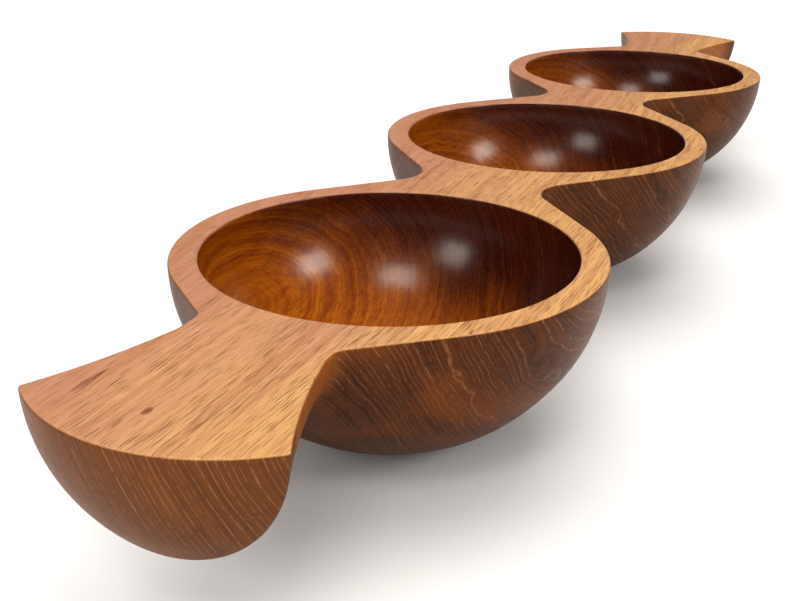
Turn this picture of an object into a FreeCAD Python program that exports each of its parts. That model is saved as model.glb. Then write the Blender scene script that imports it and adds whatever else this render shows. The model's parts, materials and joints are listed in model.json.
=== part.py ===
import FreeCAD, Part
import math
import os

# Three-bowl serving dish, shaped and hollowed from one plank of teak.
#
# The dish is one piece of wood, so it is one solid in one node, carved_dish.
# The outside is a row of turned forms cut in half along their common axis: three flattened balls,
# two necks between them and a fan-shaped handle at each end. The cut makes the flat top.
# Each form is drawn as an outline on one side of the long axis and turned right round it. The
# shapes are joined, cut flat above and below, and then hollowed from above.
#
# X runs along the dish and Z is up. While it is shaped, the flat top lies in the plane Z = 0.
# The finished dish is lifted so that the origin is on the table, under the middle bowl.
# All sizes are in millimetres.

Vector = FreeCAD.Vector

# ---- the bowls ----
hollow_radius = 56.0        # of each hollow, at the rim
rim_width = 8.6             # flat rim between the hollow and the outside
bowl_gap = 22.4             # between the round outsides of two neighbouring bowls
overall_height = 56.5       # table to rim
floor_thickness = 8.0       # wood left between the lowest point of a hollow and the table
foot_cut = 2.6              # how much is planed off the round underside to make the flat feet

# ---- the necks between the bowls ----
neck_half_width = 23.5      # half the width of the top at its narrowest place
neck_root_radius = 14.0     # rounding at the bottom of the groove between two bowls

# ---- the two handles ----
handle_flank_deg = 49.5     # how steeply the side of the end bowl runs in to the handle
waist_radius = 21.0         # half-round section of the handle at its waist
waist_length = 7.0          # from the foot of the bowl's side to the start of the flare
root_radius = 4.5           # rounding in the corner between bowl and handle
flare_length = 41.2         # from the waist to the corners of the fan
flare_hollow = 1.3          # how far the sides of the fan are hollowed, against a straight line
end_radius = 34.7           # half-round section of the handle at its corners
end_crown = 13.5            # how far the domed end stands out past the corners
left_handle_shift = 2.6     # the handle at -X is carved this far to the +Y side
right_handle_shift = 0.0    # the handle at +X is on the centre line

# ---- the edges ----
edge_radius = 0.8           # sanded rounding round the flat top, the rims and the fans' ends

# ---- worked out from the sizes above ----
outer_radius = hollow_radius + rim_width
bowl_pitch = 2.0 * outer_radius + bowl_gap
bowl_centres = (-bowl_pitch, 0.0, bowl_pitch)
hollow_depth = overall_height - floor_thickness
flattening = (overall_height + foot_cut) / outer_radius

flank_angle = math.radians(90.0 - handle_flank_deg)
flank_start_x = bowl_pitch + outer_radius * math.cos(flank_angle)
flank_start_y = outer_radius * math.sin(flank_angle)
flank_slope = math.tan(math.radians(handle_flank_deg))
waist_x = flank_start_x + (flank_start_y - waist_radius) / flank_slope + waist_length
corner_x = waist_x + flare_length
tip_x = corner_x + end_crown

origin = Vector(0, 0, 0)
x_axis = Vector(1, 0, 0)
y_axis = Vector(0, 1, 0)
z_axis = Vector(0, 0, 1)


def arc(start, middle, end):
    return Part.Arc(start, middle, end).toShape()


def line(start, end):
    return Part.LineSegment(start, end).toShape()


def turned(edges):
    """Turn a closed outline, drawn on one side of the long axis, right round that axis."""
    face = Part.Face(Part.Wire(edges))
    return face.revolve(origin, x_axis, 360)


def on_circle(centre_x, centre_y, radius, angle):
    """The point of a circle in the top plane at this angle from the X axis, in radians."""
    return Vector(centre_x + radius * math.cos(angle), centre_y + radius * math.sin(angle), 0)


def neck_angle():
    """Where, on a bowl's circle, the straight flank of a neck begins.

    The flank touches two circles and passes between them: the bowl's outside and the rounded
    root of the neck. The angle is measured at the bowl's centre, from the long axis.
    """
    reach = bowl_pitch / 2.0
    rise = neck_half_width + neck_root_radius
    span = math.hypot(reach, rise)
    return math.atan2(rise, reach) + math.acos((outer_radius + neck_root_radius) / span)


def bowl_outline(centre_x, left_angle, right_angle):
    """One bowl's round outside, between the places where its left and right flanks begin."""
    left = on_circle(centre_x, 0, outer_radius, math.pi - left_angle)
    right = on_circle(centre_x, 0, outer_radius, right_angle)
    top = Vector(centre_x, outer_radius, 0)
    return arc(left, top, right)


def neck_outline(left_bowl_x, angle):
    """Flank, rounded root and flank between a bowl and the next one to its right."""
    middle_x = left_bowl_x + bowl_pitch / 2.0
    root_y = neck_half_width + neck_root_radius
    leaves = on_circle(left_bowl_x, 0, outer_radius, angle)
    enters = on_circle(middle_x, root_y, neck_root_radius, math.pi + angle)
    lowest = Vector(middle_x, neck_half_width, 0)
    rises = on_circle(middle_x, root_y, neck_root_radius, -angle)
    arrives = on_circle(left_bowl_x + bowl_pitch, 0, outer_radius, math.pi - angle)
    return [line(leaves, enters), arc(enters, lowest, rises), line(rises, arrives)]


def row_of_bowls():
    """Three bowls and two necks as one turned form, flattened a little from top to bottom.

    Its two ends run down inside the waists of the handles, which cover them.
    """
    neck = neck_angle()
    end_height = waist_radius / 2.0
    half_length = flank_start_x + (flank_start_y - end_height) / flank_slope

    left_foot = Vector(-half_length, 0, 0)
    left_top = Vector(-half_length, end_height, 0)
    right_top = Vector(half_length, end_height, 0)
    right_foot = Vector(half_length, 0, 0)

    edges = [line(left_foot, left_top)]
    edges.append(line(left_top, Vector(-flank_start_x, flank_start_y, 0)))
    edges.append(bowl_outline(-bowl_pitch, flank_angle, neck))
    edges.extend(neck_outline(-bowl_pitch, neck))
    edges.append(bowl_outline(0.0, neck, neck))
    edges.extend(neck_outline(0.0, neck))
    edges.append(bowl_outline(bowl_pitch, neck, flank_angle))
    edges.append(line(Vector(flank_start_x, flank_start_y, 0), right_top))
    edges.append(line(right_top, right_foot))
    edges.append(line(right_foot, left_foot))

    flatten = FreeCAD.Matrix()
    flatten.A33 = flattening
    return turned(edges).transformGeometry(flatten)


def handle(side, shift):
    """One handle on the left (-1) or right (+1): a waist, a flaring fan and a domed end.

    It starts inside the end bowl, so that it joins whatever slope the bowl's side has.
    """
    heel = Vector(side * bowl_pitch, 0, 0)
    heel_top = Vector(side * bowl_pitch, waist_radius, 0)
    waist = Vector(side * waist_x, waist_radius, 0)
    corner = Vector(side * corner_x, end_radius, 0)
    tip = Vector(side * tip_x, 0, 0)

    flare = corner - waist
    inward = Vector(side * flare.y, -abs(flare.x), 0).normalize()
    flare_middle = (waist + corner) * 0.5 + inward * flare_hollow

    dome_radius = (end_radius ** 2 + end_crown ** 2) / (2.0 * end_crown)
    half_angle = math.asin(end_radius / dome_radius) / 2.0
    dome_side = math.pi - half_angle if side < 0 else half_angle
    dome_middle = on_circle(side * (tip_x - dome_radius), 0, dome_radius, dome_side)

    edges = [
        line(heel, heel_top),
        line(heel_top, waist),
        arc(waist, flare_middle, corner),
        arc(corner, dome_middle, tip),
        line(tip, heel),
    ]
    return turned(edges).translated(y_axis * shift)


def hollow(centre_x):
    """The inside of one bowl: a half ellipse turned about the bowl's upright axis."""
    centre = Vector(centre_x, 0, 0)
    rim = Vector(centre_x + hollow_radius, 0, 0)
    bottom = Vector(centre_x, 0, -hollow_depth)
    ellipse = Part.Ellipse(rim, bottom, centre)
    quarter = Part.ArcOfEllipse(ellipse, 0, math.pi / 2.0).toShape()
    edges = [quarter, line(bottom, centre), line(centre, rim)]
    return Part.Face(Part.Wire(edges)).revolve(centre, z_axis, 360)


def handle_roots(solid):
    """The closed edges where the flanks of the end bowls meet the waists of the handles."""
    edges = []
    for edge in solid.Edges:
        box = edge.BoundBox
        between = flank_start_x + edge_radius < abs(box.Center.x) < waist_x - edge_radius
        if between and box.YLength > waist_radius:
            edges.append(edge)
    return edges


def above_and_below():
    """Two blocks: the waste above the flat top, and the waste below the feet."""
    length = 4.0 * tip_x
    width = 4.0 * outer_radius
    corner = Vector(-length / 2.0, -width / 2.0, 0)
    above = Part.makeBox(length, width, width, corner)
    below = Part.makeBox(length, width, width, corner - z_axis * (overall_height + width))
    return [above, below]


def sharp_edges(solid):
    """All edges of the flat top, and the half circles where the domed ends meet the fans."""
    tolerance = 0.01
    edges = []
    for edge in solid.Edges:
        box = edge.BoundBox
        in_top = max(abs(box.ZMin), abs(box.ZMax)) < tolerance
        at_corner = abs(abs(box.Center.x) - corner_x) < tolerance and box.XLength < tolerance
        if in_top or at_corner:
            edges.append(edge)
    return edges


def carved_dish():
    left_handle = handle(-1, left_handle_shift)
    right_handle = handle(1, right_handle_shift)
    outside = row_of_bowls().fuse([left_handle, right_handle])
    outside = outside.makeFillet(root_radius, handle_roots(outside))
    body = outside.cut(above_and_below() + [hollow(centre_x) for centre_x in bowl_centres])
    body = body.removeSplitter()
    body = body.makeFillet(edge_radius, sharp_edges(body))
    return body.translated(z_axis * overall_height)


dish = carved_dish()
box = dish.optimalBoundingBox(True, False)
print("valid:", dish.isValid(), "solids:", len(dish.Solids))
print("length, width, height:", round(box.XLength, 2), round(box.YLength, 2), round(box.ZLength, 2))
print("volume in cubic centimetres:", round(dish.Volume / 1000.0, 1))

os.makedirs("parts", exist_ok=True)
dish.exportStep("parts/carved_dish.step")
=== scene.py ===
# %% [markdown]
# # A serving dish carved from one plank of teak
#
# The real dish is a single piece of wood: three round bowls in a row, two narrow necks between
# them and a fan-shaped handle at each end. It looks as if a long spindle was turned on a lathe,
# sawn in half along its axis, and then hollowed three times from the flat side.
#
# The imported CAD model gives the true size and place of everything. We start by loading it, and
# keep its box, which gives several of the sizes below.

# %% Load the imported model
import json
import math

import bmesh
import bpy
import numpy as np
from mathutils import Matrix, Vector, noise
from mathutils.bvhtree import BVHTree
from mathutils.geometry import delaunay_2d_cdt


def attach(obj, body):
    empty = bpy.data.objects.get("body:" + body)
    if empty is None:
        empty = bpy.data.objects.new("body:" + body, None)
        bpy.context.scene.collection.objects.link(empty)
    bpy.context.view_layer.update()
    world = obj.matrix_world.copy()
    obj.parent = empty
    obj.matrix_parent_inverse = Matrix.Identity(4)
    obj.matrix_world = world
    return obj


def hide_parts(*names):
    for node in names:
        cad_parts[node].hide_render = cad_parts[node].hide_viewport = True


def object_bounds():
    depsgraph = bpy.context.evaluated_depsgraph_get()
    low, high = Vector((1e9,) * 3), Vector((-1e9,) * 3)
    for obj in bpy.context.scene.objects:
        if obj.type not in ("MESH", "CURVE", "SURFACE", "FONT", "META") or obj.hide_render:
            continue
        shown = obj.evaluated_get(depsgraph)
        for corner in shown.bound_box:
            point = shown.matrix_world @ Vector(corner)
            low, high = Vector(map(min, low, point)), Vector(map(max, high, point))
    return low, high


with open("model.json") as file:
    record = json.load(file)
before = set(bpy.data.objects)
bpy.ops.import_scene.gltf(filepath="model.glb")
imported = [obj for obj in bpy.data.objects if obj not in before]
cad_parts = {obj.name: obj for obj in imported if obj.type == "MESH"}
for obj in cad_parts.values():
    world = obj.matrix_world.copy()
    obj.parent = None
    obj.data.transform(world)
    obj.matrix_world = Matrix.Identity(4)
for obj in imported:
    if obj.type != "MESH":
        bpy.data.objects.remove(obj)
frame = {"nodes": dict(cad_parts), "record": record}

cad_low, cad_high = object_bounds()
print("CAD box in metres:", tuple(cad_low), tuple(cad_high))

# %% [markdown]
# ## Sizes
#
# Whatever the frame can tell us is read from it: the rim's height, the bowls' spacing from the
# feet that they stand on, the width across a bowl and the length over the handles. The other
# sizes are the maker's own, such as how narrow a neck is. A maker thinks in millimetres, so the
# shape is worked out in millimetres and turned into Blender's metres once, when a mesh is made.

# %% Sizes in millimetres
MM = 0.001
feet = {mount["name"]: mount["pos_m"] for mount in frame["record"]["mounts"]}

rim_height = cad_high.z / MM
bowl_pitch = feet["right_foot"][0] / MM
outer_radius = cad_high.y / MM
tip_x = cad_high.x / MM

rim_width = 8.6
floor_thickness = 8.0
foot_cut = 2.6
neck_half_width = 23.5
neck_root_radius = 14.0
handle_flank = math.radians(49.5)
waist_radius = 21.0
waist_length = 7.0
flare_length = 41.2
flare_hollow = 1.3
end_radius = 34.7
handle_shift = {-1: 2.6, 1: 0.0}
edge_radius = 0.8

hollow_radius = outer_radius - rim_width
hollow_depth = rim_height - floor_thickness
flattening = (rim_height + foot_cut) / outer_radius
flank_start_x = bowl_pitch + outer_radius * math.sin(handle_flank)
flank_start_y = outer_radius * math.cos(handle_flank)
flank_foot_x = flank_start_x + (flank_start_y - waist_radius) / math.tan(handle_flank)
waist_x = flank_foot_x + waist_length
corner_x = waist_x + flare_length
end_crown = tip_x - corner_x
print("bowl pitch", round(bowl_pitch, 1), "hollow", round(hollow_radius, 1), "corner", round(corner_x, 1))

# %% [markdown]
# ## The outline of the turned spindle
#
# On a lathe, one outline drawn beside the axis fixes the whole shape, so the outline is where we
# start. It is a formula for the half width at each place along the dish: circles for the bowls,
# straight flanks, a rounded groove at each neck, and for the handles a waist, a hollow flare
# and a domed end. A formula is better than a list of points here, because the mesh can then be
# as fine as each stretch needs.


# %% Half width of the bowls and necks, and of the handles
def smooth_larger(a, b, width):
    """The larger of two values, with the step between them rounded over this width."""
    overlap = np.clip(width - np.abs(a - b), 0.0, None) / width
    return np.maximum(a, b) + overlap * overlap * width / 4.0


def bowl_half_width(x):
    """Bowls, necks and the flanks that run down from the end bowls to the handles."""
    x = abs(x)
    if x > flank_start_x:
        return max(flank_start_y - (x - flank_start_x) * math.tan(handle_flank), 0.0)
    if x > bowl_pitch:
        return math.sqrt(outer_radius**2 - (x - bowl_pitch) ** 2)
    reach = bowl_pitch / 2.0
    rise = neck_half_width + neck_root_radius
    touch = math.atan2(rise, reach)
    touch += math.acos((outer_radius + neck_root_radius) / math.hypot(reach, rise))
    from_bowl = min(x, bowl_pitch - x)
    if from_bowl < outer_radius * math.cos(touch):
        return math.sqrt(outer_radius**2 - from_bowl**2)
    from_neck = reach - from_bowl
    if from_neck < neck_root_radius * math.cos(touch):
        return rise - math.sqrt(neck_root_radius**2 - from_neck**2)
    start = outer_radius * math.sin(touch)
    return start - (from_bowl - outer_radius * math.cos(touch)) / math.tan(touch)


dome_radius = (end_radius**2 + end_crown**2) / (2.0 * end_crown)
dome_x = tip_x - dome_radius


def handle_half_width(x):
    """The half-round handle: straight waist, hollow flare, soft corner and domed end."""
    x = abs(x)
    if x < waist_x:
        return waist_radius
    rise = end_radius - waist_radius
    chord = math.hypot(flare_length, rise)
    sweep = (chord**2 / 4.0 + flare_hollow**2) / (2.0 * flare_hollow)
    centre_x = waist_x + flare_length / 2.0 - rise / chord * (sweep - flare_hollow)
    centre_y = waist_radius + rise / 2.0 + flare_length / chord * (sweep - flare_hollow)
    flare = centre_y - math.sqrt(sweep**2 - (x - centre_x) ** 2)
    dome = math.sqrt(max(dome_radius**2 - (x - dome_x) ** 2, 0.0))
    return -smooth_larger(-flare, -dome, edge_radius)


for name, place in (("bowl", bowl_pitch), ("neck", bowl_pitch / 2.0), ("waist", waist_x)):
    width = max(bowl_half_width(place), handle_half_width(place) if place > flank_foot_x else 0.0)
    print("half width at the", name, round(float(width), 1))

# %% [markdown]
# ## Sections across the dish
#
# Cut the dish across and the outside is a half ellipse under a bowl, because the bowls are a
# little flatter than they are wide, and a half circle under a handle. Where a handle grows out
# of the end bowl the two sections melt together, as a gouge and sandpaper leave them. The left
# handle was carved a few millimetres off the centre line, so the middle of the section slides
# over to it between the bowl and the waist.


# %% One cross section as distances from its own middle
columns = 89
melt_width = 2.0


def section_middle(x):
    """Y of the section's middle: 0 at the bowls, the handle's own shift from the waist on."""
    along = np.clip((abs(x) - flank_start_x) / (waist_x - flank_start_x), 0.0, 1.0)
    return handle_shift[1 if x > 0 else -1] * along * along * (3.0 - 2.0 * along)


def wall_distance(x, angle):
    """How far the outside is from the section's middle, at these angles round the long axis."""
    across, down = np.cos(angle), np.sin(angle)
    middle = section_middle(x)
    distance = np.zeros_like(angle)
    half_width = bowl_half_width(x)
    if half_width > abs(middle):
        half_depth = half_width * flattening
        a = (across / half_width) ** 2 + (down / half_depth) ** 2
        b = middle * across / half_width**2
        c = (middle / half_width) ** 2 - 1.0
        distance = (-b + np.sqrt(b * b - a * c)) / a
    if abs(x) > bowl_pitch:
        off = middle - handle_shift[1 if x > 0 else -1]
        radius = handle_half_width(x)
        handle = -off * across + np.sqrt((off * across) ** 2 - off**2 + radius**2)
        distance = smooth_larger(distance, handle, melt_width)
    return distance


def section(x):
    """Points of the wall from the +Y edge, round underneath, to the -Y edge."""
    first, last = 0.0, math.pi
    for _ in range(4):
        ends = wall_distance(x, np.array([first, last]))
        first = math.asin(edge_radius / ends[0])
        last = math.pi - math.asin(edge_radius / ends[1])
    angle = np.linspace(first, last, columns)
    distance = wall_distance(x, angle)
    y = section_middle(x) + distance * np.cos(angle)
    return np.stack([np.full(columns, x), y, -distance * np.sin(angle)], axis=1)


print("depth under a bowl:", round(float(-section(0.0)[:, 2].min()), 1))

# %% [markdown]
# ## The domed ends
#
# If the sections simply went on to the tip, they would shrink to one point on the sharp top
# edge, and the mesh there would be a bundle of slivers. So the last stretch of each dome is a
# patch of its own: seen from the end it is a half disc, and its rows slide from the round rim
# up to a short stretch of the top edge, about half as wide as the rim. Each point is then
# pushed out to the true sphere.


# %% Patch of rows for a domed end
dome_rows = 14
dome_start = corner_x + 1.0
top_stretch = 0.55


def dome_patch(side):
    """Rows from the rim of the dome (left out) to the middle of its top edge."""
    rim = section(side * dome_start)
    rim_y = rim[:, 1] - handle_shift[side]
    rim_z = rim[:, 2]
    share = np.linspace(0.0, 1.0, columns)
    top_y = rim_y[0] * top_stretch * (1.0 - 2.0 * share)
    rows = []
    for step in range(1, dome_rows + 1):
        t = step / dome_rows
        start_y = rim_y[0] + t * (top_y[0] - rim_y[0])
        end_y = rim_y[-1] + t * (top_y[-1] - rim_y[-1])
        y = (1 - t) * rim_y + t * top_y + (1 - share) * start_y + share * end_y
        y -= (1 - share) * ((1 - t) * rim_y[0] + t * top_y[0])
        y -= share * ((1 - t) * rim_y[-1] + t * top_y[-1])
        z = (1 - t) * rim_z - t * edge_radius
        x = side * (dome_x + np.sqrt(dome_radius**2 - y * y - z * z))
        rows.append(np.stack([x, y + handle_shift[side], z], axis=1))
    return rows


print("each dome has", dome_rows, "rows and starts at", round(dome_start, 1))

# %% [markdown]
# The rest of the wall is a row of sections, set closely where the outline turns quickly and
# widely where it runs straight. Each stretch below has a start, an end and a number of rows.

# %% The wall from tip to tip
near_corner = corner_x - 1.2
stretches = [
    (0.0, flank_start_x, 170),
    (flank_start_x, waist_x, 40),
    (waist_x, near_corner, 26),
    (near_corner, dome_start, 16),
]
stations = np.concatenate([np.linspace(a, b, n, endpoint=False) for a, b, n in stretches])
stations = np.append(stations, dome_start)
stations = np.concatenate([-stations[:0:-1], stations])
rows = dome_patch(-1)[::-1] + [section(x) for x in stations] + dome_patch(1)
wall = np.array(rows)
print("wall grid:", wall.shape[0], "rows of", wall.shape[1], "points")

# %% [markdown]
# ## Hand work in the surface
#
# A lathe, a gouge and an hour of sanding never leave a perfect form. Slow waves of about a
# tenth of a millimetre are far too small to measure in the shape, but they bend the highlights.
# They fade out near the flat top and at the feet, because those are planed true. The heights
# below are the most that a wave could reach, and nearly all of them stay far under that.


# %% Slow waves for the wall and the hollows
def fade(value, start, end):
    """A smooth step from 0 at the start to 1 at the end."""
    t = np.clip((value - start) / (end - start), 0.0, 1.0)
    return t * t * (3.0 - 2.0 * t)


wall_waves = {"height": 0.35, "size": 26.0}
hollow_waves = {"height": 0.4, "size": 30.0}


def hand_waves(points, outward, height, size):
    """Move each point along its outward direction by smooth noise of this height and size."""
    flat = points.reshape(-1, 3)
    swell = np.array([noise.noise(Vector(p) / size) for p in flat]).reshape(points.shape[:-1])
    depth = -points[..., 2]
    strength = fade(depth, 1.5, 9.0) * (1.0 - fade(depth, rim_height - 9.0, rim_height - 2.0))
    return points + outward * (height * swell * strength)[..., None]


from_axis = wall * np.array([0.0, 1.0, 1.0])
from_axis /= np.linalg.norm(from_axis, axis=-1, keepdims=True)
wall = hand_waves(wall, from_axis, **wall_waves)
wall[..., 2] = np.maximum(wall[..., 2], -rim_height)
print("the wall reaches the table at", int((wall[..., 2] <= -rim_height + 1e-6).sum()), "points")

# %% [markdown]
# ## From the wall to the flat top
#
# Sandpaper breaks the sharp edge round the flat top to a small radius. We walk once round the
# border of the wall and lay rings of points that turn from upright to level. The last ring
# already lies in the flat, so the shading of the flat stays clean. First we need the border
# itself: its points in order, and at each point the level direction that leads inwards.


# %% The border of the wall
def border(rows, columns_count):
    """Rows and columns of the points round the border of a grid, in order."""
    last_row, last_column = rows - 1, columns_count - 1
    walk = [(0, j) for j in range(columns_count)]
    walk += [(i, last_column) for i in range(1, rows)]
    walk += [(last_row, j) for j in range(last_column - 1, -1, -1)]
    walk += [(i, 0) for i in range(last_row - 1, 0, -1)]
    return walk


walk = border(*wall.shape[:2])
edge = np.array([wall[i, j] for i, j in walk])
before, after = np.roll(edge, 1, axis=0), np.roll(edge, -1, axis=0)
tangent = (after - before)[:, :2]
tangent /= np.linalg.norm(tangent, axis=1, keepdims=True)
inward = np.stack([-tangent[:, 1], tangent[:, 0]], axis=1)
if ((edge[:, :2] + inward)[:, 1] ** 2).sum() > (edge[:, 1] ** 2).sum():
    inward = -inward
print("border of", len(walk), "points")

# %% [markdown]
# Where the plan itself turns a tight corner, at the points of the fans, rings of full width
# would cross each other. So we measure how tightly the border bends at each point, spread that
# to the neighbours, and draw the rings closer together there.

# %% Rings over the top edge
edge_steps = 4
level_margin = 0.35
bend_room = 0.8
come, go = (edge - before)[:, :2], (after - edge)[:, :2]
turn = np.arctan2(come[:, 0] * go[:, 1] - come[:, 1] * go[:, 0], (come * go).sum(axis=1))
turn = np.abs(turn) * (np.sign(turn) == np.sign(turn.sum()))
bend = turn / (0.5 * (np.linalg.norm(come, axis=1) + np.linalg.norm(go, axis=1)))
for _ in range(8):
    bend = np.maximum(bend, np.maximum(np.roll(bend, 1), np.roll(bend, -1)))
room = bend_room / np.maximum(bend, 1e-6)
closer = np.minimum(1.0, room / (edge_radius + level_margin))
for _ in range(6):
    closer = (closer + np.roll(closer, 1) + np.roll(closer, -1)) / 3.0

top_rings = []
for step in range(1, edge_steps + 2):
    angle = min(step / edge_steps, 1.0) * math.pi / 2.0
    shift = edge_radius * (1.0 - math.cos(angle))
    shift += level_margin if step > edge_steps else 0.0
    ring = edge.copy()
    ring[:, :2] += inward * (shift * closer)[:, None]
    ring[:, 2] = -edge_radius * (1.0 - math.sin(angle))
    top_rings.append(ring)
print(len(top_rings), "rings, tightest plan radius", round(float(1.0 / bend.max()), 2), "mm")

# %% [markdown]
# ## The three hollows
#
# Each hollow is half an ellipse turned about an upright axis, which is what a maker gets from a
# template and a round-nosed gouge. The same small rounding runs round its rim. The rows start
# in the flat, go over the rim and then down to one point at the bottom.


# %% Rows of one hollow
around = 160
hollow_rows = 44


def hollow(centre_x):
    """Rows of points from the flat, over the rim and down to just above the bottom."""
    profile = [(hollow_radius + edge_radius + level_margin, 0.0)]
    for step in range(edge_steps):
        angle = step / edge_steps * math.pi / 2.0
        radius = hollow_radius + edge_radius * (1.0 - math.sin(angle))
        profile.append((radius, -edge_radius * (1.0 - math.cos(angle))))
    start = math.asin(edge_radius / hollow_depth)
    for step in range(hollow_rows):
        angle = start + (math.pi / 2.0 - start) * step / hollow_rows
        profile.append((hollow_radius * math.cos(angle), -hollow_depth * math.sin(angle)))
    turn = np.linspace(0.0, 2.0 * math.pi, around, endpoint=False)
    radius, z = np.array(profile).T
    x = centre_x + radius[:, None] * np.cos(turn)
    y = radius[:, None] * np.sin(turn)
    points = np.stack([x, y, np.repeat(z[:, None], around, axis=1)], axis=-1)
    outward = points - np.array([centre_x, 0.0, 0.0])
    outward /= np.linalg.norm(outward, axis=-1, keepdims=True)
    return hand_waves(points, outward, **hollow_waves)


bowl_centres = [-bowl_pitch, 0.0, bowl_pitch]
hollows = [hollow(x) for x in bowl_centres]
print("three hollows of", hollows[0].shape[0], "rows,", around, "points round")

# %% [markdown]
# ## One closed mesh
#
# The wall, the rings over its edge, the flat top and the three hollows are sewn into one closed
# skin, because the dish is one piece of wood. Two rows of the same length are joined by a strip
# of quads, so almost all of it is strips. Each point also remembers how far it lies inside a
# hollow: the number grows from 0 to 1 over the first rows.


# %% Sew the pieces together
class Skin:
    """Collects points and faces, and remembers which points lie in a hollow."""

    def __init__(self):
        self.points, self.faces, self.inside = [], [], []

    def add(self, points, inside=0.0):
        """Add a row of points. Gives their numbers."""
        start = len(self.points)
        self.points.extend(map(tuple, points))
        self.inside.extend([inside] * len(points))
        return list(range(start, len(self.points)))

    def strip(self, first, second, closed=True):
        """Quads between two rows of the same length."""
        count = len(first)
        for k in range(count if closed else count - 1):
            n = (k + 1) % count
            self.faces.append((first[k], first[n], second[n], second[k]))


oil_rows = 2.5
skin = Skin()
grid = [skin.add(row) for row in wall]
for upper, lower in zip(grid, grid[1:]):
    skin.strip(upper, lower, closed=False)
ring = [grid[i][j] for i, j in walk]
for points in top_rings:
    following = skin.add(points)
    skin.strip(ring, following)
    ring = following
flat_loops = [ring]

for shape in hollows:
    ring = skin.add(shape[0])
    flat_loops.append(ring)
    for row, points in enumerate(shape[1:], start=1):
        following = skin.add(points, inside=fade(row, 0.0, oil_rows))
        skin.strip(ring, following)
        ring = following
    bottom = skin.add([shape[-1].mean(axis=0)], inside=1.0)[0]
    for k in range(around):
        skin.faces.append((ring[k], ring[(k + 1) % around], bottom))
print("walls and hollows:", len(skin.faces), "faces")

# %% [markdown]
# The flat top has three round holes in it, so strips can't fill it. A triangulation that keeps
# the given edges does. Loose points in between keep its triangles even, and stay clear of the
# edges. A triangle whose corners all lie on one hollow's ring would close that hollow, so it is
# left out.


# %% Fill the flat top
border_margin = 1.5
edge_margin = 1.2


def flat_points(loops, spacing=4.0):
    """Loose points inside the flat, clear of every edge of it."""
    edge_points = np.array([skin.points[k][:2] for loop in loops for k in loop])
    xs = np.arange(-tip_x, tip_x, spacing)
    ys = np.arange(-outer_radius, outer_radius, spacing)
    loose = []
    for x in xs:
        for y in ys:
            if any(math.hypot(x - c, y) < hollow_radius + border_margin for c in bowl_centres):
                continue
            half = max(bowl_half_width(x), handle_half_width(x) if abs(x) > flank_foot_x else 0.0)
            if abs(y - section_middle(x)) > half - border_margin:
                continue
            if np.min(np.abs(edge_points - (x, y)).max(axis=1)) > edge_margin:
                loose.append((x, y))
    return loose


loose = skin.add([(x, y, 0.0) for x, y in flat_points(flat_loops)])
members = [k for loop in flat_loops for k in loop] + loose
position = {k: n for n, k in enumerate(members)}
edges = []
for loop in flat_loops:
    edges += [(position[a], position[b]) for a, b in zip(loop, loop[1:] + loop[:1])]
level = [Vector(skin.points[k][:2]) for k in members]
_, _, flat_faces, sources, _, _ = delaunay_2d_cdt(level, edges, [], 1, 1e-5)
holes = [set(loop) for loop in flat_loops[1:]]
for face in flat_faces:
    corners = tuple(members[sources[k][0]] for k in face)
    if not any(hole.issuperset(corners) for hole in holes):
        skin.faces.append(corners)
print("with the flat top:", len(skin.faces), "faces")

# %% [markdown]
# ## The dish as a Blender object
#
# The points are still in millimetres below the rim, so they are lifted by the dish's height and
# turned into metres here. A number on every point says how far it lies inside a hollow. The
# wood's finish will use it, because the hollows were oiled more often than the flat top. The
# faces are turned to look outwards, and then no edge should be open: each has two faces.

# %% Make the mesh
coords = (np.array(skin.points) + (0.0, 0.0, rim_height)) * MM
mesh = bpy.data.meshes.new("teak_dish")
mesh.from_pydata(coords.tolist(), [], skin.faces)
inside = mesh.attributes.new("inside_hollow", "FLOAT", "POINT")
inside.data.foreach_set("value", skin.inside)

shell = bmesh.new()
shell.from_mesh(mesh)
bmesh.ops.recalc_face_normals(shell, faces=shell.faces)
open_edges = sum(1 for e in shell.edges if len(e.link_faces) != 2)
volume = shell.calc_volume(signed=True)
shell.to_mesh(mesh)
shell.free()
mesh.shade_smooth()

dish = bpy.data.objects.new("teak_dish", mesh)
bpy.context.scene.collection.objects.link(dish)
print("open edges:", open_edges, "volume in cubic centimetres:", round(volume * 1e6, 1))

# %% [markdown]
# The skin was worked out from a few sizes and not copied, so we measure how far it lies from
# the CAD solid. A BVH tree finds the nearest spot of the solid for any point. Every 25th point
# of the skin is enough for a fair answer.

# %% Compare it with the CAD solid
solid = frame["nodes"]["carved_dish"]
tree = BVHTree.FromPolygons([v.co for v in solid.data.vertices], [p.vertices for p in solid.data.polygons])
gaps = [tree.find_nearest(Vector(p))[3] / MM for p in coords[::25]]
print("distance from the CAD solid in mm: mean", round(float(np.mean(gaps)), 3), "most", round(max(gaps), 3))

# %% [markdown]
# ## Writing shader maths as maths
#
# A wood texture is mostly arithmetic on the place of a point in the block. Blender does that
# with nodes, and a long chain of nodes is hard to read. The class below wraps one output socket,
# so that `1 - mask` or `a * b + c` adds the Math nodes for us. Every other node comes from one
# method that takes its type, its settings, which are set first because some of them change the
# node's sockets, and the values or links for its sockets.


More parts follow.
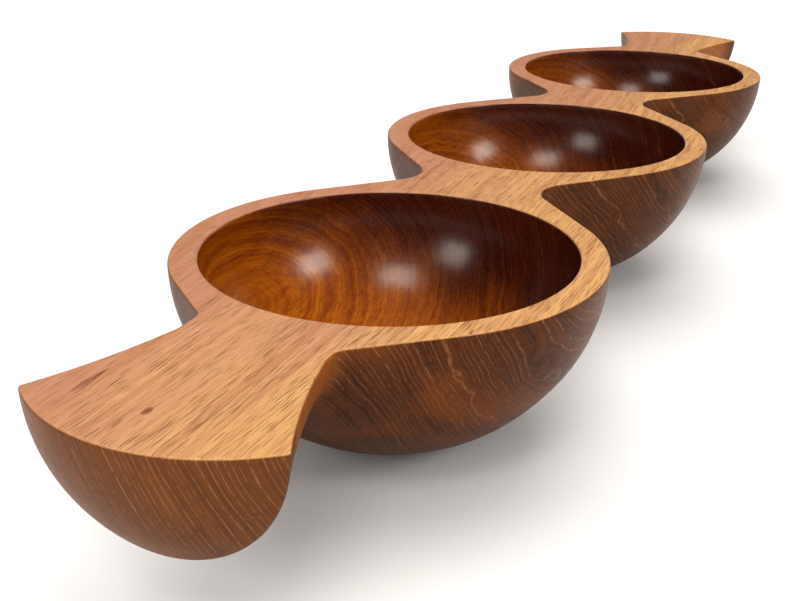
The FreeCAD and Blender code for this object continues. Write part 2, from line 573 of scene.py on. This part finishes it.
# %% A small class for shader maths
class Wire:
    """One output of a shader node. Arithmetic on it adds the nodes that work it out."""

    def __init__(self, tree, socket):
        self.tree = tree
        self.socket = socket

    def node(self, kind, settings, inputs, output=0):
        """A node of this type, with its settings, then its inputs. Gives one output of it."""
        new = self.tree.nodes.new("ShaderNode" + kind)
        for name, value in settings.items():
            setattr(new, name, value)
        for name, value in inputs.items():
            if isinstance(value, Wire):
                self.tree.links.new(value.socket, new.inputs[name])
            else:
                new.inputs[name].default_value = value
        return Wire(self.tree, new.outputs[output])

    def maths(self, operation, *values):
        """A Math node. Its inputs are wires or plain numbers."""
        return self.node("Math", {"operation": operation}, dict(enumerate(values)))

    def __add__(self, other):
        return self.maths("ADD", self, other)

    def __sub__(self, other):
        return self.maths("SUBTRACT", self, other)

    def __mul__(self, other):
        return self.maths("MULTIPLY", self, other)

    def __truediv__(self, other):
        return self.maths("DIVIDE", self, other)

    def __rsub__(self, other):
        return self.maths("SUBTRACT", other, self)

    __radd__ = __add__
    __rmul__ = __mul__

    def __abs__(self):
        return self.maths("ABSOLUTE", self)

    def root(self):
        return self.maths("SQRT", self)

    def fraction(self):
        return self.maths("FRACT", self)

    def ramp(self, low, high, to_low=0.0, to_high=1.0):
        """A smooth step: to_low below low, to_high above high."""
        inputs = {"Value": self, "From Min": low, "From Max": high, "To Min": to_low, "To Max": to_high}
        return self.node("MapRange", {"interpolation_type": "SMOOTHSTEP"}, inputs)

    def scaled(self, x, y, z):
        """A vector with each of its numbers multiplied."""
        return self.node("VectorMath", {"operation": "MULTIPLY"}, {0: self, 1: (x, y, z)})

    def moved(self, other):
        """A vector with this one added."""
        return self.node("VectorMath", {"operation": "ADD"}, {0: self, 1: other})

    def parts(self):
        """The three numbers of a vector."""
        return [self.node("SeparateXYZ", {}, {0: self}, k) for k in range(3)]

    def noise(self, detail=2.0, roughness=0.5, colour=False):
        """Smooth noise at this place: 3-D for a vector, 1-D for a number."""
        plain = self.socket.type == "VALUE"
        settings = {"noise_dimensions": "1D" if plain else "3D"}
        inputs = {"W" if plain else "Vector": self, "Scale": 1.0, "Detail": detail, "Roughness": roughness}
        return self.node("TexNoise", settings, inputs, "Color" if colour else 0)

    def mix(self, low, high):
        """This wire, from 0 to 1, blends the first colour into the second."""
        colours = [c if isinstance(c, Wire) else (*c, 1.0) for c in (low, high)]
        return self.node("Mix", {"data_type": "RGBA"}, {0: self, 6: colours[0], 7: colours[1]}, 2)


def new_material(name):
    """A material, the wire of its Object coordinates, and its Principled shader node."""
    material = bpy.data.materials.new(name)
    material.use_nodes = True
    tree = material.node_tree
    tree.nodes.clear()
    shader = tree.nodes.new("ShaderNodeBsdfPrincipled")
    output = tree.nodes.new("ShaderNodeOutputMaterial")
    tree.links.new(shader.outputs[0], output.inputs["Surface"])
    place = Wire(tree, tree.nodes.new("ShaderNodeTexCoord").outputs["Object"])
    return material, place, shader


def connect(shader, name, wire):
    """Lead a wire to one of the shader's sockets."""
    shader.id_data.links.new(wire.socket, shader.inputs[name])


print("shader helpers ready")

# %% [markdown]
# ## Where the tree's rings run
#
# Wood is a solid texture: a stack of cylinders round the tree's pith, long fibres, and pores
# that are thin tubes along the fibres. Cut by the dish's own curves it gives bullseyes in the
# hollows, fine upright lines on the end of the handle and long streaks on the flat top, all
# from one recipe. So nothing is drawn on a surface. Every pattern is worked out from the place
# in the plank, in millimetres. The pith runs low down, just outside the +Y side of the bowls,
# and it sways and leans a little, because no tree is quite straight.

# %% Place in the plank and distance from the pith
teak, object_place, teak_shader = new_material("oiled_teak")
place = object_place.node("VectorMath", {"operation": "SCALE"}, {0: object_place, "Scale": 1.0 / MM})
x, y, z = place.parts()
from_middle = abs(x)

pith_y, pith_lean_y = 64.0, -0.02
pith_z, pith_lean_z = rim_height - 55.0, -0.09
sway_width = 9.0
sway = place.scaled(0.006, 0.02, 0.02).noise(detail=2.0, colour=True)
_, sway_y, sway_z = sway.parts()
across_y = y - x * pith_lean_y - pith_y + (sway_y - 0.5) * sway_width
across_z = z - x * pith_lean_z - pith_z + (sway_z - 0.5) * sway_width
pith_distance = (across_y * across_y + across_z * across_z).root()
print("the pith runs at y", pith_y, "z", round(pith_z, 1))

# %% [markdown]
# The rings are about as wide as teak's often are, some years more and some less. On the round
# sides of the bowls they also curl in small waves. Near the flat top and on the handles they
# run almost straight. The ring's age goes from 0 to 1 within every year, and the fibres are
# noise that is stretched far along the plank.

# %% Rings, curls and fibres
ring_width = 1.5
uneven_years = 4.0
uneven = (pith_distance * 0.11).noise(detail=1.0)
calm = z.ramp(rim_height - 16.0, rim_height - 1.0, 1.0, 0.1)
curl = place.scaled(0.07, 0.11, 0.11).noise(detail=3.0, roughness=0.55)
curl_on_bowls, curl_on_handles = 2.4, 0.5
wrinkle = (curl - 0.5) * calm * from_middle.ramp(195.0, 240.0, curl_on_bowls, curl_on_handles)
ring_count = pith_distance * (1.0 / ring_width) + (uneven - 0.5) * uneven_years + wrinkle
ring_age = ring_count.fraction()
ring_tone = (ring_count * 0.6).noise(detail=3.0, roughness=0.6)
hair_lines = (ring_count * 4.0).noise(detail=2.0, roughness=0.7)

fibre_coarse = place.scaled(0.016, 0.55, 0.55).noise(detail=3.0, roughness=0.6)
fibre_fine = place.scaled(0.07, 2.6, 2.6).noise(detail=2.0, roughness=0.6)
print("rings about", ring_width, "mm apart")

# %% [markdown]
# Teak is ring porous: each year starts with a thin pale line that holds the widest pores, and
# then darkens slowly. The pores are tubes a fifth of a millimetre wide and several millimetres
# long, so a Voronoi texture that is stretched along the grain makes them: its cells are long
# needles, and only the middle of each cell is open. The pale lines fade in and out along the
# plank, as they do where the knife crosses them at a slant.

# %% Pale lines, late wood and pores
early_line = 1.0 - abs(ring_age - 0.5).ramp(0.03, 0.10)
late_wood = ring_age.ramp(0.55, 1.0) * ring_tone.ramp(0.3, 0.7)
line_strength = place.scaled(0.11, 0.5, 0.5).noise(detail=2.0).ramp(0.3, 0.62)


def needles(stretch, thin, size, seed):
    """Long thin pores: 1 inside a pore, 0 outside it."""
    where = place.moved((seed, seed * 0.7, seed * 1.3)).scaled(stretch, thin, thin)
    distance = where.node("TexVoronoi", {"feature": "F1"}, {"Vector": where, "Scale": 1.0}, "Distance")
    return 1.0 - (distance / size).ramp(0.55, 1.0)


pore_crowd = place.scaled(0.012, 0.12, 0.12).noise(detail=2.0).ramp(0.3, 0.7, 0.17, 0.32) - y * 0.0008
wide_pores = needles(0.055, 3.0, pore_crowd, 0.0)
small_pores = needles(0.10, 3.6, pore_crowd * 0.9 + 0.10, 31.0)
print("pores ready")

# %% [markdown]
# ## Colour and finish
#
# The same wood shows three finishes. The flat top was planed and sanded last and is dry and
# pale, from pinkish tan to straw. The outside has had some oil, and is a mid brown with fine
# pale lines. The hollows are amber and shine, because oil collected there; their deep red brown
# side is painted shade.
# Two masks choose between them: the height of the point, and the number that we stored on the
# mesh. Slow patches of colour, as in any plank, come from one more noise.

# %% Masks and slow changes of colour
hollow_mask = object_place.node("Attribute", {"attribute_name": "inside_hollow"}, {}, "Fac")
top_mask = z.ramp(rim_height - 0.45, rim_height - 0.08)
patches = place.scaled(0.01, 0.045, 0.045).noise(detail=2.0)
body = ring_tone * 0.45 + fibre_coarse * 0.3 + fibre_fine * 0.25
bowl_turn = (x * (1.0 / bowl_pitch) + 0.5).fraction() - 0.5
print("masks ready")

# %% [markdown]
# Outside, the brown is warmer in patches. The handle's end is painted lighter, as painted light
# where more light falls on it, and the -Y side of its flared waist is painted orange: a painted
# glow of warm light bounced from the bowl. The side of each bowl that faces -Y and the far end is
# painted paler, a painted sheen of the bright room. Last come the pale lines of early wood, which
# are plainest on the handle's end.

# %% The outside
brown_grain = (body + (hair_lines - 0.5) * 0.65).ramp(0.2, 0.8)
outside = brown_grain.mix((0.028, 0.0065, 0.0009), (0.105, 0.032, 0.0062))
outside = patches.ramp(0.45, 0.7, 0.0, 0.4).mix(outside, (0.190, 0.055, 0.006))
# Painted light: the handle's end is made lighter, in place of the extra light that falls on it.
painted_light_handle = from_middle.ramp(235.0, 266.0, 0.0, 0.24)
outside = painted_light_handle.mix(outside, (0.230, 0.092, 0.028))
# Painted bounce light: a warm orange glow on the -Y side of the handle's flared waist, where light bounces
# from the bowl.
painted_bounce_waist = from_middle.ramp(217.0, 226.0) * (1.0 - from_middle.ramp(254.0, 264.0))
painted_bounce_waist = painted_bounce_waist * (1.0 - y.ramp(-18.0, -10.0))
outside = (painted_bounce_waist * 0.75).mix(outside, (0.300, 0.090, 0.006))
# Painted sheen: the -Y and far side of each bowl is made paler, in place of the bright room's reflection.
painted_sheen = (bowl_turn * 1.2 - y * 0.016 + (patches - 0.5) * 0.5).ramp(0.65, 1.35, 0.0, 0.5)
outside = painted_sheen.mix(outside, (0.230, 0.115, 0.070))
line_share = from_middle.ramp(200.0, 250.0, 0.30, 0.42)
outside = (early_line * line_strength * line_share).mix(outside, (0.34, 0.17, 0.085))
print("outside: brown, orange waist, paler end")

# %% [markdown]
# Inside a hollow one side looks amber and the other, above all high up, dark red. The dark red is
# painted shade: the walls that face away from the light are darkened in the colour itself. So a
# slanting blend, which starts again in every bowl, leads from the amber to the painted shade. The
# late wood of each ring is darker still, and the early lines are just seen.

# %% The hollows
# Painted shade: the far and upper walls of each hollow are darkened to deep red, where less light falls.
painted_shade_side = bowl_turn * 1.7 - y * 0.008 + (z - rim_height + 20.0) * 0.022 + (patches - 0.5) * 0.7
painted_shade_side = painted_shade_side.ramp(-0.45, 0.75)
amber = body.ramp(0.3, 0.7).mix((0.170, 0.031, 0.0006), (0.390, 0.118, 0.0026))
shaded_red = body.ramp(0.3, 0.7).mix((0.012, 0.0004, 0.0003), (0.050, 0.0055, 0.0004))
hollow_wood = painted_shade_side.mix(amber, shaded_red)
hollow_wood = (late_wood * 0.4).mix(hollow_wood, (0.026, 0.002, 0.0006))
hollow_wood = (early_line * line_strength * 0.12).mix(hollow_wood, (0.36, 0.12, 0.008))
print("hollows: amber to dark red")

# %% [markdown]
# The flat top goes from straw on the -Y side to pinkish tan on the +Y side. Two small dark
# marks lie on the left handle: mineral streaks, drawn out along the grain. Each is a soft
# ellipse with a ragged border, given by its middle, its half length and half width in
# millimetres, and its strength. Then the pores are laid over everything. They are dark and
# plain on the dry top, and nearly filled where there is oil.

# %% The flat top, its two streaks and the pores
top_hue = (y * 0.012 + patches * 1.2 - 0.1).ramp(0.0, 1.0)
top_pale = top_hue.mix((0.475, 0.280, 0.118), (0.355, 0.180, 0.118))
top_wood = body.ramp(0.25, 0.65).mix((0.300, 0.135, 0.064), top_pale)

wood = hollow_mask.mix(outside, hollow_wood)
wood = top_mask.mix(wood, top_wood)
mineral_streaks = [(-264.4, 4.2, 2.4, 1.1, 0.75), (-258.0, 24.4, 7.0, 1.2, 0.45)]
for streak_x, streak_y, half_length, half_width, strength in mineral_streaks:
    along, aside = (x - streak_x) * (1.0 / half_length), (y - streak_y) * (1.0 / half_width)
    ragged = along * along + aside * aside + (fibre_coarse - 0.5) * 1.6
    wood = (ragged.ramp(0.1, 1.0, strength, 0.0) * top_mask).mix(wood, (0.115, 0.032, 0.022))

pore_depth = top_mask * 0.68 + 0.2
wood = (wide_pores * pore_depth).mix(wood, (0.075, 0.022, 0.009))
wood = (small_pores * pore_depth * 0.9).mix(wood, (0.110, 0.034, 0.014))
connect(teak_shader, "Base Color", wood)
print("top with", len(mineral_streaks), "mineral streaks")

# %% [markdown]
# Dry wood scatters light widely. Oil that has hardened in a hollow is a thin clear coat over
# it, so the coat is strong there and stops at the open pores. The fibres and pores also feed a
# Bump node, which tilts the shading by a tenth of a millimetre or so and leaves the mesh alone.

# %% Gloss and relief
matt = top_mask * 0.14 + fibre_fine * 0.12 + wide_pores * 0.2 + 0.34
connect(teak_shader, "Roughness", matt - hollow_mask * 0.12)
connect(teak_shader, "Coat Weight", hollow_mask * 0.7 * (1.0 - wide_pores * 0.5))
teak_shader.inputs["Coat Roughness"].default_value = 0.21
teak_shader.inputs["Specular IOR Level"].default_value = 0.15

relief = fibre_fine * 0.25 + fibre_coarse * 0.2 - wide_pores * 0.8 - small_pores * 0.4
bump = relief.node("Bump", {}, {"Strength": 0.35, "Distance": 0.15 * MM, "Height": relief})
connect(teak_shader, "Normal", bump)

dish.data.materials.append(teak)
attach(dish, "root")
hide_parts("carved_dish")
print("teak has", len(teak.node_tree.nodes), "nodes")

# %% [markdown]
# ## The table
#
# The dish stands on a plain, nearly white surface. It only has to catch a soft shadow, so one
# large smooth sheet is enough, curved up far behind the dish like a roll of studio paper.
# Far away the paper also gives a little light of its own, because our small lights don't reach
# it. Then hardly any horizon shows, whichever side we look from.


# %% Pale floor
def paper_floor(radius=6.0, lift=1.0, flat_share=0.55):
    """A round sheet, flat in the middle and turned up at its border."""
    points, faces = [(0.0, 0.0, 0.0)], []
    around, rings = 96, 40
    for ring in range(1, rings + 1):
        share = ring / rings
        height = lift * max(0.0, (share - flat_share) / (1.0 - flat_share)) ** 2.2
        for k in range(around):
            angle = 2.0 * math.pi * k / around
            points.append((radius * share * math.cos(angle), radius * share * math.sin(angle), height))
    faces += [(0, 1 + k, 1 + (k + 1) % around) for k in range(around)]
    for ring in range(rings - 1):
        start = 1 + ring * around
        for k in range(around):
            n = (k + 1) % around
            faces.append((start + k, start + around + k, start + around + n, start + n))
    sheet = bpy.data.meshes.new("paper_floor")
    sheet.from_pydata(points, [], faces)
    sheet.shade_smooth()
    floor = bpy.data.objects.new("paper_floor", sheet)
    bpy.context.scene.collection.objects.link(floor)
    return floor


gap_under_dish = 0.0002
floor = paper_floor()
floor.location.z = -gap_under_dish
print("floor is", round(floor.dimensions.x, 1), "m across")

# %% [markdown]
# The paper's colour is a cool white with the faintest mottle. Its own light starts well away
# from the dish and reaches its full strength near the border, so it doesn't wash out the
# shadow.

# %% Paper
paper, paper_place, paper_shader = new_material("white_paper")
speck = paper_place.scaled(220.0, 220.0, 220.0).noise(detail=2.0)
connect(paper_shader, "Base Color", speck.mix((0.620, 0.625, 0.635), (0.640, 0.645, 0.655)))
paper_x, paper_y, _ = paper_place.parts()
reach = (paper_x * paper_x + paper_y * paper_y).root()
far_glow = reach.ramp(1.6, 4.2).mix((0.0, 0.0, 0.0), (0.40, 0.40, 0.395))
connect(paper_shader, "Emission Color", far_glow)
paper_shader.inputs["Emission Strength"].default_value = 1.0
paper_shader.inputs["Roughness"].default_value = 0.9
paper_shader.inputs["Specular IOR Level"].default_value = 0.2
floor.data.materials.append(paper)
print("paper has", len(paper.node_tree.nodes), "nodes")

# %% [markdown]
# ## Light
#
# The room is bright and pale, but dark wood under a white sky looks as if it had milk on it:
# every part of the surface mirrors some of the sky. So the world gives one strength to what is
# lit, another to what we see directly, and almost nothing to mirror images. A Light Path node
# in the world tells the three apart.

# %% The room
room_light, seen_light, mirrored_light = 0.5, 0.80, 0.04
world = bpy.data.worlds.new("bright_room")
world.use_nodes = True
sky = world.node_tree.nodes["Background"]
sky.inputs["Color"].default_value = (1.0, 0.985, 0.965, 1.0)
rays = world.node_tree.nodes.new("ShaderNodeLightPath")
seen = Wire(world.node_tree, rays.outputs["Is Camera Ray"])
mirrored = Wire(world.node_tree, rays.outputs["Is Glossy Ray"])
strength = seen * (seen_light - room_light) - mirrored * (room_light - mirrored_light) + room_light
world.node_tree.links.new(strength.socket, sky.inputs["Strength"])
bpy.context.scene.world = world
print("room light", room_light, "and", mirrored_light, "in reflections")

# %% [markdown]
# On a curved and polished hollow every window shows as one soft spot, so where the windows hang
# decides where the spots sit. One window is low on the -Y side, one is behind the left end on
# the +Y side, and one is high over the left end. The ceiling and a white wall give most of the
# light, and the flat top its brightness. They are hidden from reflections, or they would cover
# the hollows with two large pale patches. A view with a little more contrast than the plain
# one keeps the wood deep beside the white paper.


# %% Windows, ceiling and wall
def soft_light(name, azimuth, elevation, distance, width, height, watts):
    """A soft square light, hung in this direction and turned to the dish."""
    light = bpy.data.lights.new(name, "AREA")
    light.shape = "RECTANGLE"
    light.size, light.size_y = width, height
    light.energy = watts
    light.color = (1.0, 0.95, 0.90)
    lamp = bpy.data.objects.new(name, light)
    a, e = math.radians(azimuth), math.radians(elevation)
    lamp.location = Vector((math.cos(e) * math.cos(a), math.cos(e) * math.sin(a), math.sin(e))) * distance
    lamp.rotation_euler = (-lamp.location).to_track_quat("-Z", "Y").to_euler()
    bpy.context.scene.collection.objects.link(lamp)
    return lamp


soft_light("side_window", -98.0, 33.0, 2.4, 0.8, 0.6, 15.0)
soft_light("back_window", 157.0, 28.0, 2.4, 0.7, 0.6, 8.0)
soft_light("high_window", -166.0, 53.0, 2.4, 0.8, 0.6, 11.0)
ceiling = soft_light("ceiling", 24.0, 77.0, 3.2, 3.2, 3.2, 90.0)
white_wall = soft_light("white_wall", -172.0, 25.0, 3.0, 3.0, 1.8, 45.0)
ceiling.visible_glossy = white_wall.visible_glossy = False

bpy.context.scene.view_settings.view_transform = "Standard"
bpy.context.scene.view_settings.look = "Medium High Contrast"

# %% [markdown]
# ## Camera
#
# We look along the row from just past the end of the left handle, from a little above, so that
# the near handle is large and the bowls grow smaller behind it. A camera looks along its own
# -Z axis, so its matrix is built from three directions: right, up and backwards. The roll is
# less than half a degree, as when a camera is held by hand.


# %% Camera beside the left handle
def aim(turn, tilt, roll):
    """Right, up and back directions of a camera turned from +X to +Y, tilted down and rolled."""
    forward = Vector((math.cos(tilt) * math.cos(turn), math.cos(tilt) * math.sin(turn), -math.sin(tilt)))
    right = forward.cross(Vector((0.0, 0.0, 1.0))).normalized()
    up = right.cross(forward)
    rolled = right * math.cos(roll) + up * math.sin(roll)
    return rolled, rolled.cross(forward), -forward


camera_place = (-0.43150, -0.12954, 0.16940)
camera_turn, camera_tilt, camera_roll = 0.42302, 0.39787, 0.00739
lens = bpy.data.cameras.new("camera")
lens.lens = 49.92
lens.sensor_width = 36.0
lens.clip_start = 0.01
camera = bpy.data.objects.new("camera", lens)
right, up, back = aim(camera_turn, camera_tilt, camera_roll)
axes = Matrix((right, up, back)).transposed().to_4x4()
camera.matrix_world = Matrix.Translation(camera_place) @ axes
bpy.context.scene.collection.objects.link(camera)
bpy.context.scene.camera = camera
print("camera at", [round(v, 3) for v in camera.matrix_world.translation])
